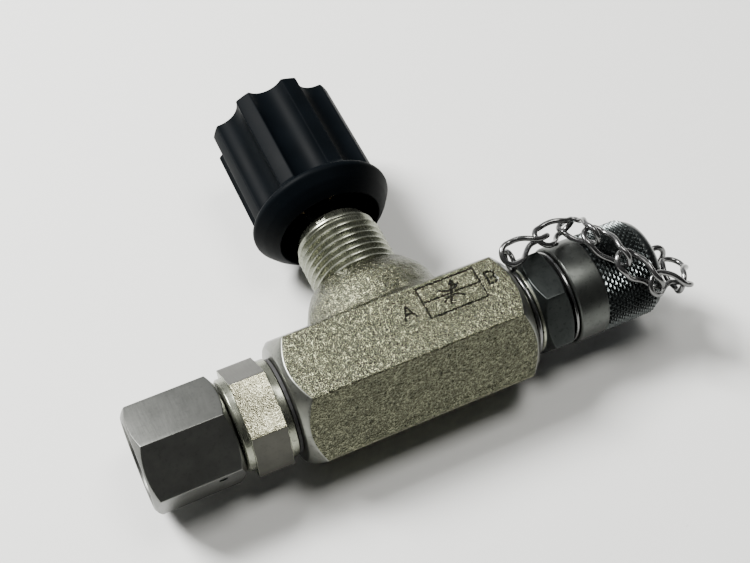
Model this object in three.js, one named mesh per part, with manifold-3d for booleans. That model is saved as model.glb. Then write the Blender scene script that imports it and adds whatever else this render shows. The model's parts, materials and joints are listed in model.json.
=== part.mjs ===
// Inline flow control valve: hexagon body with a threaded side neck, a swivel nut on a stud
// fitting at one port, a test coupling with a chained cap at the other, and a knob on the spindle.
// Millimetres. Valve axes: X from the swivel nut to the cap, Y along the spindle towards the knob.
import * as THREE from 'three';
import { mergeVertices } from 'three/addons/utils/BufferGeometryUtils.js';
import Module from 'manifold-3d';

const wasm = await Module();
wasm.setup();

// ---- driving dimensions ----
const bodyAcross = 24.6;
const bodyHalfLength = 24.4;
const bodyEndRadius = 11.4;
const bodyChamfer = 3;
const portRadius = 6.9;
const portDepth = 12;
const passageRadius = 2.4;
const inletDrop = -3.2;
const outletRise = 4.2;
const orificeRadius = 2.1;
const seatHeight = 2.2;
const pistonBore = 5.3;
const pistonBoreTop = 21.5;
const neckRadius = 8.95;
const neckTop = 31.2;
const bonnetBore = 6.9;

const spanner = 19;
const nutTurn = 43;
const studTurn = 16.6;
const couplingTurn = 56;
const nutLeft = -53.75;
const nutRight = -35.9;
const nutEndRadius = 9;
const wireStation = -40.6;
const studHexLeft = -33.95;
const studHexRight = -26.9;
const coneTip = -50;
const couplingHexLeft = 27.2;
const couplingHexRight = 33.3;
const couplingMouth = 46.5;

const capMouth = 34.5;
const capEnd = 54.4;
const capRadius = 10.1;
const capBore = 8.3;
const capBoreEnd = 47.6;
const capCorner = 2.6;
const eyeCentre = 57.4;
const eyeRadius = 2.3;
const eyeWire = 0.6;
const eyeTurn = 70;

const knobLip = 33.5;
const knobRim = 38.2;
const knobFluteStart = 39.4;
const knobEnd = 64.3;
const knobRimRadius = 15.2;
const knobCrest = 14;
const knobValley = 11.8;
const knobLobes = 8;
const knobFirstLobe = 28;
const knobCavityTop = 43;

const linkWire = 0.55;
const linkHalfWidth = 2.15;
const linkLength = 10.6;
const neckEyeTurn = 60;
const neckEyeCentre = 11.7;
const neckEyeRadius = 1.9;
const neckRingStation = 25.85;

const roundSegments = 32;
const gap = 0.3;

// ---- materials ----
const finish = (color, roughness, metalness) => new THREE.MeshStandardMaterial({ color, roughness, metalness });
const castSteel = finish(0xb4b39c, 0.55, 0.85);
const satinSteel = finish(0x8a8a84, 0.38, 0.95);
const brightSteel = finish(0xc9c6b4, 0.3, 0.95);
const darkSteel = finish(0x5a5e5c, 0.45, 0.9);
const springSteel = finish(0x9a9a98, 0.3, 1);
const brass = finish(0xb9975a, 0.4, 0.9);
const blackRubber = finish(0x151515, 0.8, 0);
const knobPlastic = finish(0x10161d, 0.42, 0);
const whitePlastic = finish(0xe8e4d8, 0.5, 0);

// ---- solid helpers ----
const radians = THREE.MathUtils.degToRad;

// A closed geometry with merged corners, no slivers and faces pointing out.
function closedGeometry(source) {
  let geometry = source.clone();
  for (const name of Object.keys(geometry.attributes)) {
    if (name !== 'position') geometry.deleteAttribute(name);
  }
  geometry = mergeVertices(geometry, 1e-4);
  const index = geometry.index.array;
  const kept = [];
  for (let i = 0; i < index.length; i += 3) {
    const [a, b, c] = [index[i], index[i + 1], index[i + 2]];
    if (a !== b && b !== c && c !== a) kept.push(a, b, c);
  }
  const at = geometry.attributes.position;
  const corners = [new THREE.Vector3(), new THREE.Vector3(), new THREE.Vector3()];
  let volume = 0;
  for (let i = 0; i < kept.length; i += 3) {
    corners.forEach((corner, k) => corner.fromBufferAttribute(at, kept[i + k]));
    volume += corners[0].dot(corners[1].clone().cross(corners[2]));
  }
  if (volume < 0) kept.reverse();
  geometry.setIndex(kept);
  return geometry;
}

function solid(geometry) {
  const closed = closedGeometry(geometry);
  const mesh = new wasm.Mesh({
    numProp: 3,
    vertProperties: new Float32Array(closed.attributes.position.array),
    triVerts: new Uint32Array(closed.index.array),
  });
  return new wasm.Manifold(mesh);
}

function geometryOf(manifold) {
  const mesh = manifold.getMesh();
  const geometry = new THREE.BufferGeometry();
  geometry.setAttribute('position', new THREE.BufferAttribute(new Float32Array(mesh.vertProperties), 3));
  geometry.setIndex([...mesh.triVerts]);
  return geometry;
}

// A turned profile of [radius, height] points about Y.
function turned(profile, segments = roundSegments) {
  const points = profile.map(([radius, height]) => new THREE.Vector2(radius, height));
  return new THREE.LatheGeometry(points, segments);
}

// The same about X.
const turnedX = (profile, segments) => turned(profile, segments).rotateZ(-Math.PI / 2);

// A plain rod or washer between two stations.
const rod = (radius, from, to) => [[0, from], [radius, from], [radius, to], [0, to]];
const sleeve = (inner, outer, from, to) => [[inner, from], [outer, from], [outer, to], [inner, to], [inner, from]];

// A hexagon bar along X; its first edge stands at the given angle from +Y towards +Z.
function hexBar(across, from, to, turn) {
  const bar = new THREE.CylinderGeometry(across / Math.sqrt(3), across / Math.sqrt(3), to - from, 6);
  bar.rotateZ(-Math.PI / 2);
  bar.rotateX(radians(turn) + Math.PI / 2);
  return bar.translate((from + to) / 2, 0, 0);
}

// A ring of round wire about X.
function wireRing(station, radius, wire, segments = 24, sides = 8) {
  return new THREE.TorusGeometry(radius, wire, sides, segments).rotateY(Math.PI / 2).translate(station, 0, 0);
}

// A closed wire loop through a list of points, with frames carried along the curve.
function wireLoop(points, wire, sides = 6) {
  const count = points.length;
  const tangents = points.map((point, i) => points[(i + 1) % count].clone().sub(points[(i + count - 1) % count]));
  tangents.forEach((tangent) => tangent.normalize());
  const carry = (normal, tangent) => normal.clone().addScaledVector(tangent, -normal.dot(tangent)).normalize();
  const start = carry(new THREE.Vector3(0.31, 0.52, 0.79), tangents[0]);
  const normals = [start];
  for (let i = 1; i <= count; i += 1) normals.push(carry(normals[i - 1], tangents[i % count]));
  const across = new THREE.Vector3().crossVectors(tangents[0], start);
  const drift = Math.atan2(normals[count].dot(across), normals[count].dot(start));
  const corners = [];
  const index = [];
  points.forEach((point, i) => {
    const normal = normals[i].clone().applyAxisAngle(tangents[i], (-drift * i) / count);
    for (let k = 0; k < sides; k += 1) {
      const spoke = normal.clone().applyAxisAngle(tangents[i], (2 * Math.PI * k) / sides);
      corners.push(...point.clone().addScaledVector(spoke, wire).toArray());
      const [a, b] = [i * sides + k, i * sides + ((k + 1) % sides)];
      const [c, d] = [a, b].map((corner) => (corner + sides) % (count * sides));
      index.push(a, b, c, b, d, c);
    }
  });
  const geometry = new THREE.BufferGeometry();
  geometry.setAttribute('position', new THREE.Float32BufferAttribute(corners, 3));
  geometry.setIndex(index);
  return closedGeometry(geometry);
}

// A closed skin through rings of equal length round Y, with a flat lid at each end.
function lofted(rings) {
  const sides = rings[0].length;
  const lids = [rings[0], rings.at(-1)].map((ring) => new THREE.Vector3(0, ring[0].y, 0));
  const corners = [...rings.flat(), ...lids].flatMap((point) => point.toArray());
  const index = [];
  for (let i = 0; i + 1 < rings.length; i += 1) {
    for (let k = 0; k < sides; k += 1) {
      const [a, b] = [i * sides + k, i * sides + ((k + 1) % sides)];
      index.push(a, b, a + sides, b, b + sides, a + sides);
    }
  }
  const last = (rings.length - 1) * sides;
  const lid = last + sides;
  for (let k = 0; k < sides; k += 1) {
    const next = (k + 1) % sides;
    index.push(lid, next, k);
    index.push(lid + 1, last + k, last + next);
  }
  const geometry = new THREE.BufferGeometry();
  geometry.setAttribute('position', new THREE.Float32BufferAttribute(corners, 3));
  geometry.setIndex(index);
  return geometry;
}

const fuse = (first, ...others) => others.reduce((whole, other) => whole.add(other), first);
const cut = (first, ...others) => others.reduce((whole, other) => whole.subtract(other), first);

const valve = new THREE.Group();

function place(name, shape, material) {
  const geometry = shape.isBufferGeometry ? closedGeometry(shape) : geometryOf(shape);
  geometry.computeVertexNormals();
  const mesh = new THREE.Mesh(geometry, material);
  mesh.name = name;
  valve.add(mesh);
}

// ---- valve body ----
// Height, half width along X and half width across, from the spindle bore up to the neck.
const shoulderStations = [
  [0, 13.6, 12.2],
  [11, 13.6, 12.2],
  [14, 13.5, 11.7],
  [15.6, 12.9, 10.9],
  [17.1, 12.1, 9.7],
  [18.6, 11.1, 8.5],
  [20.2, 9.2, 7],
];

function shoulder() {
  const sides = 28;
  return lofted(shoulderStations.map(([height, along, across]) => {
    const ring = [];
    for (let k = 0; k < sides; k += 1) {
      const turn = (-2 * Math.PI * k) / sides;
      ring.push(new THREE.Vector3(along * Math.cos(turn), height, across * Math.sin(turn)));
    }
    return ring;
  }));
}

function valveBody() {
  const cornerRadius = bodyEndRadius + bodyChamfer;
  const ends = turnedX([
    [0, -bodyHalfLength],
    [bodyEndRadius, -bodyHalfLength],
    [cornerRadius, bodyChamfer - bodyHalfLength],
    [cornerRadius, bodyHalfLength - bodyChamfer],
    [bodyEndRadius, bodyHalfLength],
    [0, bodyHalfLength],
  ], 48);
  const bar = solid(hexBar(bodyAcross, -bodyHalfLength, bodyHalfLength, 0)).intersect(solid(ends));
  const neck = solid(turned([
    [0, 8],
    [neckRadius, 8],
    [neckRadius, neckTop - 0.8],
    [neckRadius - 0.8, neckTop],
    [0, neckTop],
  ]));
  const portEnd = bodyHalfLength - portDepth;
  const spindleBore = turned([
    [0, inletDrop],
    [orificeRadius, inletDrop],
    [orificeRadius, seatHeight],
    [pistonBore, seatHeight],
    [pistonBore, pistonBoreTop],
    [bonnetBore, pistonBoreTop],
    [bonnetBore, neckTop + 1],
    [0, neckTop + 1],
  ]);
  return cut(
    fuse(bar, solid(shoulder()), neck),
    solid(turnedX(rod(portRadius, -bodyHalfLength - 1, -portEnd))),
    solid(turnedX(rod(portRadius, portEnd, bodyHalfLength + 1))),
    solid(turnedX(rod(passageRadius, -portEnd - 1, 0), 16).translate(0, inletDrop, 0)),
    solid(turnedX(rod(passageRadius, 0, portEnd + 1), 16).translate(0, outletRise, 0)),
    solid(spindleBore),
  );
}

place('valve_body', valveBody(), castSteel);

// ---- stud fitting and its swivel nut ----
const hexChamfer = (endRadius, left, right) => turnedX([
  [0, left],
  [endRadius, left],
  [endRadius + 2.2, left + 1.25],
  [endRadius + 2.2, right - 1.25],
  [endRadius, right],
  [0, right],
]);

function studFitting() {
  const turnedPart = solid(turnedX([
    [0, coneTip],
    [4.2, coneTip],
    [4.5, coneTip + 0.4],
    [5.2, -47.3],
    [4, -47.3],
    [4, -45.5],
    [5.6, -45.5],
    [6, -43.4],
    [6, wireStation - 0.8],
    [5.4, wireStation - 0.8],
    [5.4, wireStation + 0.8],
    [6, wireStation + 0.8],
    [6, nutRight + 0.4],
    [8.8, nutRight + 0.4],
    [9.2, nutRight + 0.8],
    [9.2, studHexLeft + 0.5],
    [9.2, studHexRight - 0.5],
    [9.7, studHexRight - 0.5],
    [9.7, -25.4],
    [6.6, -25.4],
    [6.6, -14],
    [6, -13.4],
    [0, -13.4],
  ]));
  const bar = solid(hexBar(spanner, studHexLeft, studHexRight, studTurn));
  const bore = solid(turnedX(rod(2.6, coneTip - 1, -12), 20));
  return cut(fuse(turnedPart, bar), bore);
}

function swivelNut() {
  const bar = solid(hexBar(spanner, nutLeft, nutRight, nutTurn));
  const bore = turnedX([
    [0, nutLeft - 1],
    [8.2, nutLeft - 1],
    [8.2, nutLeft],
    [7.3, nutLeft + 0.9],
    [7.3, -43.8],
    [6.4, -43],
    [6.4, wireStation - 0.8],
    [7.2, wireStation - 0.8],
    [7.2, wireStation + 0.8],
    [6.4, wireStation + 0.8],
    [6.4, nutRight + 1],
    [0, nutRight + 1],
  ]);
  // The wire is fed in through a round hole that meets its groove on a slant.
  const feedTurn = radians(nutTurn + 150);
  const feed = new THREE.CylinderGeometry(0.9, 0.9, 8, 12).translate(0, 10, -3.3);
  feed.rotateX(feedTurn).translate(wireStation, 0, 0);
  return cut(bar.intersect(solid(hexChamfer(nutEndRadius, nutLeft, nutRight))), solid(bore), solid(feed));
}

place('stud_fitting', studFitting(), brightSteel);
place('stud_seal', turnedX(sleeve(7.2, 9.4, -25.2, -24.6)), blackRubber);
place('swivel_nut', swivelNut(), satinSteel);
place('retaining_wire', wireRing(wireStation, 6.3, 0.5), springSteel);
place('cone_o_ring', wireRing(-46.4, 4.85, 0.62), blackRubber);

// ---- test coupling ----
function testCoupling() {
  const turnedPart = solid(turnedX([
    [0, 13.6],
    [6, 13.6],
    [6.6, 14.2],
    [6.6, 25.1],
    [7.3, 25.1],
    [7.3, couplingHexLeft + 0.5],
    [8.6, couplingHexLeft + 0.5],
    [8.6, couplingHexRight - 0.5],
    [7.2, couplingHexRight - 0.5],
    [7.2, couplingHexRight + 1.6],
    [7.9, couplingHexRight + 2.2],
    [7.9, couplingMouth - 0.7],
    [7.2, couplingMouth],
    [0, couplingMouth],
  ]));
  const bar = solid(hexBar(spanner, couplingHexLeft, couplingHexRight, couplingTurn));
  const bore = turnedX([
    [0, 12],
    [4.2, 12],
    [4.2, 40.4],
    [2.7, 41.4],
    [2.7, 43],
    [3.7, 43],
    [3.7, 44.4],
    [2.7, 44.4],
    [2.7, couplingMouth + 1],
    [0, couplingMouth + 1],
  ], 24);
  const hexPart = bar.intersect(solid(hexChamfer(9, couplingHexLeft, couplingHexRight)));
  return cut(fuse(turnedPart, hexPart), solid(bore));
}

// A coil spring along X from one station to the other.
function coilSpring(from, to, radius, wire, turns) {
  class Coil extends THREE.Curve {
    getPoint(t) {
      const turn = 2 * Math.PI * turns * t;
      return new THREE.Vector3(from + (to - from) * t, radius * Math.cos(turn), radius * Math.sin(turn));
    }
  }
  const section = new THREE.Shape(new THREE.EllipseCurve(0, 0, wire, wire).getPoints(5).slice(0, 5));
  return new THREE.ExtrudeGeometry(section, { steps: turns * 11, extrudePath: new Coil() });
}

place('test_coupling', testCoupling(), darkSteel);
place('coupling_seal', turnedX(sleeve(7, 9.2, 24.6, 24.95)), blackRubber);
place('spring_seat', turnedX(sleeve(1.6, 3.9, 17.5, 19.5), 20), satinSteel);
place('check_spring', coilSpring(20.3, 33.7, 3, 0.4, 6), springSteel);
place('check_poppet', turnedX([
  [0, 31],
  [2, 31],
  [2, 36.4],
  [3.9, 36.4],
  [3.9, 39.6],
  [2.2, 41],
  [0, 41],
], 20), brass);
place('probe_seal', wireRing(43.7, 3.1, 0.45, 20, 6), blackRubber);
place('dust_ring', turnedX(sleeve(7.5, 9.6, couplingHexRight + 0.4, capMouth - gap)), springSteel);

// ---- cap ----
function capShell() {
  const corner = [];
  const steps = 4;
  for (let i = 0; i <= steps; i += 1) {
    const turn = (Math.PI / 2) * (i / steps);
    corner.push([capRadius - capCorner * (1 - Math.cos(turn)), capEnd - capCorner * (1 - Math.sin(turn))]);
  }
  return solid(turnedX([
    [capBore + 0.6, capMouth],
    [capRadius - 0.3, capMouth],
    [capRadius, capMouth + 0.3],
    ...corner,
    [1.9, capEnd],
    [1.9, capBoreEnd],
    [capBore, capBoreEnd],
    [capBore, capMouth + 0.6],
    [capBore + 0.6, capMouth],
  ], 40));
}

// A flat-headed rivet with a wire eye on its outer end; the chain hangs from the eye.
function capEyelet() {
  const rivet = solid(turnedX([
    [0, couplingMouth + gap],
    [3.2, couplingMouth + gap],
    [3.2, capBoreEnd - gap],
    [1.5, capBoreEnd - gap],
    [1.5, capEnd + gap],
    [2.4, capEnd + gap],
    [2.4, capEnd + 1.1],
    [0, capEnd + 1.1],
  ], 16));
  const eye = new THREE.TorusGeometry(eyeRadius, eyeWire, 8, 24);
  eye.rotateX(radians(eyeTurn)).translate(eyeCentre, 0, 0);
  return fuse(rivet, solid(eye));
}

place('cap_shell', capShell(), darkSteel);
place('cap_seal', turnedX(sleeve(3.6, 7.9, couplingMouth + gap, capBoreEnd - gap), 24), blackRubber);
place('cap_eyelet', capEyelet(), springSteel);

// ---- retaining chain ----
// Where neighbouring links hook together, from the neck ring to the cap's eye.
const hooks = [
  [24.9, 5.4, 13.1],
  [32.8, 6.6, 12.5],
  [40.7, 9, 9.5],
  [42.1, 2.9, 13.2],
  [45, -3.8, 12.4],
  [50, -9.8, 8.7],
  [56.3, -10.2, 5.3],
  [59.3, -3.2, 1.5],
];
// How far each link's near end is turned about its own length from lying flat.
const linkTurns = [26, 7, 2, -5, 9, 45, -80];

// One link: a long loop of wire whose far end is turned a quarter turn from its near end.
function chainLink(from, to, turn) {
  const along = to.clone().sub(from).normalize();
  const middle = from.clone().add(to).multiplyScalar(0.5);
  const flat = new THREE.Vector3().crossVectors(along, new THREE.Vector3(0, 0, 1)).normalize();
  flat.applyAxisAngle(along, radians(turn));
  const straight = linkLength / 2 - linkHalfWidth;
  const outline = [];
  for (const end of [1, -1]) {
    for (let k = 0; k <= 6; k += 1) {
      const swing = (Math.PI * k) / 6;
      outline.push([end * (straight + linkHalfWidth * Math.sin(swing)), end * linkHalfWidth * Math.cos(swing)]);
    }
    for (const share of [0.6, 0.2, -0.2, -0.6]) outline.push([end * straight * share, -end * linkHalfWidth]);
  }
  return wireLoop(outline.map(([length, width]) => {
    const share = THREE.MathUtils.smoothstep(length, -straight, straight);
    const side = flat.clone().applyAxisAngle(along, (Math.PI / 2) * share);
    return middle.clone().addScaledVector(along, length).addScaledVector(side, width);
  }), linkWire);
}

// The ring round the coupling's neck, with an eye for the first link.
function neckRing() {
  const eye = wireRing(neckRingStation, neckEyeRadius, 0.5, 16).translate(0, neckEyeCentre, 0);
  eye.rotateX(radians(neckEyeTurn));
  return fuse(solid(wireRing(neckRingStation, 9, 0.5, 32)), solid(eye));
}

place('chain_ring', neckRing(), springSteel);
const hookPoints = hooks.map((hook) => new THREE.Vector3(...hook));
for (let i = 0; i + 1 < hookPoints.length; i += 1) {
  place(`chain_link_${i + 1}`, chainLink(hookPoints[i], hookPoints[i + 1], linkTurns[i]), springSteel);
}

// ---- spindle ----
place('needle_spindle', turned([
  [0, 2],
  [2.4, 7],
  [2.4, 10.5],
  [5, 10.5],
  [5, 12.4],
  [3.4, 12.4],
  [3.4, 15.2],
  [5, 15.2],
  [5, 17.5],
  [4, 18.2],
  [4, 33],
  [3, 34],
  [3, 57],
  [0, 57],
], 24), satinSteel);
const spindleRing = new THREE.TorusGeometry(4.3, 0.6, 8, 24).rotateX(Math.PI / 2).translate(0, 13.3, 0);
place('spindle_o_ring', spindleRing, blackRubber);
place('backup_ring', turned(sleeve(3.7, 4.95, 14.2, 14.95), 24), whitePlastic);
place('spindle_bonnet', turned([
  [4.3, 21.8],
  [6.6, 21.8],
  [6.6, 23],
  [5.5, 23],
  [5.5, 24.8],
  [6.6, 24.8],
  [6.6, neckTop + gap],
  [7.6, neckTop + gap],
  [7.6, neckTop + 1.4],
  [4.3, neckTop + 1.4],
  [4.3, 21.8],
], 24), satinSteel);
const bonnetRing = new THREE.TorusGeometry(6.1, 0.5, 8, 24).rotateX(Math.PI / 2).translate(0, 23.9, 0);
place('bonnet_o_ring', bonnetRing, blackRubber);

// ---- knob ----
// Radius of the fluted grip at an angle: flat crests with round valleys between them.
function gripRadius(turn) {
  const pitch = (2 * Math.PI) / knobLobes;
  const offset = THREE.MathUtils.euclideanModulo(turn - radians(knobFirstLobe) + pitch / 2, pitch) - pitch / 2;
  const share = THREE.MathUtils.smoothstep(Math.abs(offset), pitch * 0.13, pitch * 0.42);
  return knobCrest - (knobCrest - knobValley) * share;
}

function knobGrip() {
  const sides = knobLobes * 8;
  const ring = (height, inset) => {
    const points = [];
    for (let k = 0; k < sides; k += 1) {
      const turn = (-2 * Math.PI * k) / sides;
      const radius = gripRadius(-turn) - inset;
      points.push(new THREE.Vector3(radius * Math.cos(turn), height, -radius * Math.sin(turn)));
    }
    return points.reverse();
  };
  return lofted([ring(knobRim, 0.2), ring(knobEnd - 0.8, 0), ring(knobEnd, 0.8)]);
}

function knob() {
  const skirt = solid(turned([
    [0, knobLip],
    [11.5, knobLip],
    [12.6, knobLip + 0.9],
    [13.9, knobLip + 2.3],
    [knobRimRadius, knobRim - 0.4],
    [knobRimRadius, knobRim],
    [knobCrest, knobFluteStart],
    [0, knobFluteStart],
  ]));
  const cavity = solid(turned([
    [0, knobLip - 1],
    [10.9, knobLip - 1],
    [10.9, knobLip + 2],
    [10, knobCavityTop],
    [6.8, knobCavityTop],
    [6.8, 56.4],
    [3.3, 56.4],
    [3.3, 57.6],
    [0, 57.6],
  ]));
  const keyHole = new THREE.CylinderGeometry(1.9, 1.9, 12, 12).rotateX(Math.PI / 2).translate(0, 50, -10);
  return cut(fuse(skirt, solid(knobGrip())), cavity, solid(keyHole));
}

function knobInsert() {
  const hub = solid(turned(sleeve(3.3, 6.5, 43.6, 56)));
  const screwHole = new THREE.CylinderGeometry(1.9, 1.9, 6, 12).rotateX(Math.PI / 2).translate(0, 50, -5);
  return cut(hub, solid(screwHole));
}

place('knob', knob(), knobPlastic);
place('knob_insert', knobInsert(), brass);
const screw = new THREE.CylinderGeometry(1.6, 1.6, 4.6, 12).rotateX(Math.PI / 2).translate(0, 50, -5.7);
place('set_screw', screw, darkSteel);

// ---- lying on a table ----
// The valve rests on a lower edge of the body and on the knob's rim, so the neck tips up a little.
const edgeHeight = -bodyAcross / 2;
const edgeReach = -bodyAcross / (2 * Math.sqrt(3));
const tilt = Math.atan((knobRimRadius + edgeHeight) / (knobRim - edgeReach));
valve.rotation.x = tilt;

const bounds = new THREE.Box3().setFromObject(valve, true);
const middle = bounds.getCenter(new THREE.Vector3());
valve.position.set(-middle.x, -middle.y, -bounds.min.z);

export default valve;
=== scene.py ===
import json
import math

import bmesh
import bpy
from mathutils import Matrix, Vector, noise


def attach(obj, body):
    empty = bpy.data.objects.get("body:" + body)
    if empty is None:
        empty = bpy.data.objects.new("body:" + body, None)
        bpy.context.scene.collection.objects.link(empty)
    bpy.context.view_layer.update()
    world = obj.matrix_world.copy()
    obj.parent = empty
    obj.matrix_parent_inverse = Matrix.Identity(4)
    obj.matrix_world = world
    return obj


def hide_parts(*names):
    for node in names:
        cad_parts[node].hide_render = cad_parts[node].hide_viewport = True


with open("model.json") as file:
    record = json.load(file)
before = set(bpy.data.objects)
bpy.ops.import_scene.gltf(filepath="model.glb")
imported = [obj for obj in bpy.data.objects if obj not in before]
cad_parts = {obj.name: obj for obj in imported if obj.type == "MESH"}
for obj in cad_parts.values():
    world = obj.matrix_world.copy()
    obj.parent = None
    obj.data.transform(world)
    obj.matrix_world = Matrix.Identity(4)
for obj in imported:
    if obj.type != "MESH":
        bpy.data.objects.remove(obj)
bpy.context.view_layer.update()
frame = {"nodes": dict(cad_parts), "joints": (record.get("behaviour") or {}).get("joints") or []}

# Lengths below are millimetres in the valve's own axes: X from the nut to the cap, Y along the spindle.
mm = 0.001
nutPivotStation = -45.0  # where the record puts the nut's pivot on the X axis
joints = {joint["name"]: joint for joint in frame["joints"]}
spindleAxis = Vector(joints["spindle_travel"]["axis"])
tilt = math.atan2(spindleAxis.z, spindleAxis.y)
valveOrigin = Vector(joints["nut_spin"]["pos_m"]) - Vector((nutPivotStation * mm, 0, 0))
toRow = Matrix.Translation(valveOrigin) @ Matrix.Rotation(tilt, 4, "X") @ Matrix.Scale(mm, 4)

camera = {
    "place": toRow @ Vector((-61.97, -108.11, 218.21)),
    "aim": toRow @ Vector((3.30, 18.83, -1.21)),
    "roll": math.radians(-0.39),
    "lens": 62.16,
    "sensor": 36.0,
}


def newItem(name, data):
    item = bpy.data.objects.new(name, data)
    bpy.context.scene.collection.objects.link(item)
    return item


def addCamera(settings):
    data = bpy.data.cameras.new("camera")
    data.lens = settings["lens"]
    data.sensor_width = settings["sensor"]
    data.clip_start = 0.01
    data.clip_end = 10.0
    item = newItem("camera", data)
    look = (settings["aim"] - settings["place"]).to_track_quat("-Z", "Y").to_matrix().to_4x4()
    roll = Matrix.Rotation(settings["roll"], 4, "Z")
    item.matrix_world = Matrix.Translation(settings["place"]) @ look @ roll
    bpy.context.scene.camera = item


addCamera(camera)
print("camera placed")


# ---- shading ----
class Shading:
    # a thin hand on a node tree: add a node, set its sockets, link what is itself a socket
    def __init__(self, tree):
        self.tree = tree

    def add(self, kind, sockets=None, **options):
        node = self.tree.nodes.new(kind)
        for key, value in options.items():
            setattr(node, key, value)
        for key, value in (sockets or {}).items():
            self.feed(node.inputs[key], value)
        return node

    def feed(self, socket, value):
        if isinstance(value, bpy.types.NodeSocket):
            self.tree.links.new(value, socket)
        else:
            socket.default_value = value

    def maths(self, operation, first, second=0.0, third=0.0):
        node = self.add("ShaderNodeMath", {0: first, 1: second, 2: third}, operation=operation)
        return node.outputs[0]

    def plus(self, first, second):
        return self.maths("ADD", first, second)

    def minus(self, first, second):
        return self.maths("SUBTRACT", first, second)

    def times(self, first, second):
        return self.maths("MULTIPLY", first, second)

    def over(self, first, second):
        return self.maths("DIVIDE", first, second)

    def ramp(self, factor, stops):
        node = self.add("ShaderNodeValToRGB", {0: factor})
        elements = node.color_ramp.elements
        while len(elements) < len(stops):
            elements.new(0.5)
        for element, (position, shade) in zip(elements, stops):
            element.position = position
            element.color = (shade, shade, shade, 1)
        return node.outputs[0]

    def blend(self, factor, first, second):
        node = self.add("ShaderNodeMix", data_type="RGBA", blend_type="MIX")
        self.feed(node.inputs[0], factor)
        self.feed(node.inputs[6], first)
        self.feed(node.inputs[7], second)
        return node.outputs[2]

    def noise(self, vector, scale, detail, roughness):
        sockets = {"Vector": vector, "Scale": scale, "Detail": detail, "Roughness": roughness}
        return self.add("ShaderNodeTexNoise", sockets).outputs[0]


def newGroup(name, inputs, outputs):
    tree = bpy.data.node_groups.new(name, "ShaderNodeTree")
    for label, kind, value in inputs:
        socket = tree.interface.new_socket(label, in_out="INPUT", socket_type=kind)
        if value is not None:
            socket.default_value = value
    for label, kind in outputs:
        tree.interface.new_socket(label, in_out="OUTPUT", socket_type=kind)
    shading = Shading(tree)
    source = shading.add("NodeGroupInput").outputs
    sink = shading.add("NodeGroupOutput").inputs
    return shading, source, sink


def blastedSkin():
    # coarse shot-blasted forging under thin zinc: grains, made bright by painted glints, with dark pits between
    # them
    shading, source, sink = newGroup(
        "blastedSkin",
        [("Vector", "NodeSocketVector", None), ("Grain", "NodeSocketFloat", 2900.0)],
        [("Pits", "NodeSocketFloat"), ("Height", "NodeSocketFloat"), ("Cloud", "NodeSocketFloat")],
    )
    grain = shading.noise(source["Vector"], source["Grain"], 3.0, 0.62)
    coarse = shading.noise(source["Vector"], shading.times(source["Grain"], 0.42), 2.0, 0.6)
    both = shading.plus(shading.times(grain, 0.62), shading.times(coarse, 0.38))
    pits = shading.ramp(both, [(0.36, 1.0), (0.43, 0.35), (0.54, 0.0)])
    cloud = shading.noise(source["Vector"], 160.0, 3.0, 0.5)
    shading.feed(sink["Pits"], pits)
    shading.feed(sink["Height"], both)
    shading.feed(sink["Cloud"], cloud)
    return shading.tree


def machinedSkin():
    # fine parallel tool marks plus faint stains, for turned and milled faces
    shading, source, sink = newGroup(
        "machinedSkin",
        [("Vector", "NodeSocketVector", None)],
        [("Marks", "NodeSocketFloat"), ("Stains", "NodeSocketFloat"), ("Pits", "NodeSocketFloat")],
    )
    stretch = (6000.0, 300.0, 300.0)
    scaled = shading.add("ShaderNodeVectorMath", {0: source["Vector"], 1: stretch}, operation="MULTIPLY")
    marks = shading.noise(scaled.outputs[0], 1.0, 2.0, 0.5)
    stains = shading.noise(source["Vector"], 220.0, 4.0, 0.6)
    specks = shading.noise(source["Vector"], 1400.0, 2.0, 0.6)
    shading.feed(sink["Marks"], marks)
    shading.feed(sink["Stains"], stains)
    shading.feed(sink["Pits"], shading.ramp(specks, [(0.34, 1.0), (0.42, 0.0)]))
    return shading.tree


skins = {"blasted": blastedSkin(), "machined": machinedSkin()}


def newMaterial(name):
    material = bpy.data.materials.new(name)
    material.use_nodes = True
    material.node_tree.nodes.clear()
    shading = Shading(material.node_tree)
    surface = shading.add("ShaderNodeBsdfPrincipled")
    shading.add("ShaderNodeOutputMaterial", {"Surface": surface.outputs[0]})
    place = shading.add("ShaderNodeTexCoord").outputs["Object"]
    return material, shading, surface, place


def placeGroup(shading, tree, sockets):
    node = shading.add("ShaderNodeGroup")
    node.node_tree = tree
    for key, value in sockets.items():
        shading.feed(node.inputs[key], value)
    return node.outputs


def setRoughness(shading, surface, share, low, high):
    # from low to high as the share runs from 0 to 1
    shading.feed(surface.inputs["Roughness"], shading.maths("MULTIPLY_ADD", share, high - low, low))


def setBump(shading, surface, strength, distance, height):
    lift = shading.add("ShaderNodeBump", {"Strength": strength, "Distance": distance, "Height": height})
    shading.feed(surface.inputs["Normal"], lift.outputs[0])


def blastedMetal(name, bright, dark, grain=2900.0, roughness=(0.19, 0.34), bump=0.95):
    material, shading, surface, place = newMaterial(name)
    skin = placeGroup(shading, skins["blasted"], {"Vector": place, "Grain": grain})
    tone = shading.blend(shading.ramp(skin["Cloud"], [(0.3, 0.0), (0.7, 0.55)]), (*bright, 1), (*dark, 1))
    deep = tuple(value * 0.3 for value in dark)
    # pale flecks on the tops of the grain, mixed into the base colour: painted glints
    glintFlecks = shading.times(shading.ramp(skin["Height"], [(0.52, 0.0), (0.6, 1.0)]), 0.55)
    glintColour = tuple(min(1.0, value * 2.6) for value in bright)
    toneWithGlints = shading.blend(glintFlecks, tone, (*glintColour, 1))
    shading.feed(surface.inputs["Base Color"], shading.blend(skin["Pits"], toneWithGlints, (*deep, 1)))
    setRoughness(shading, surface, skin["Pits"], *roughness)
    surface.inputs["Metallic"].default_value = 0.95
    setBump(shading, surface, bump, 0.00042, skin["Height"])
    return material


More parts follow.
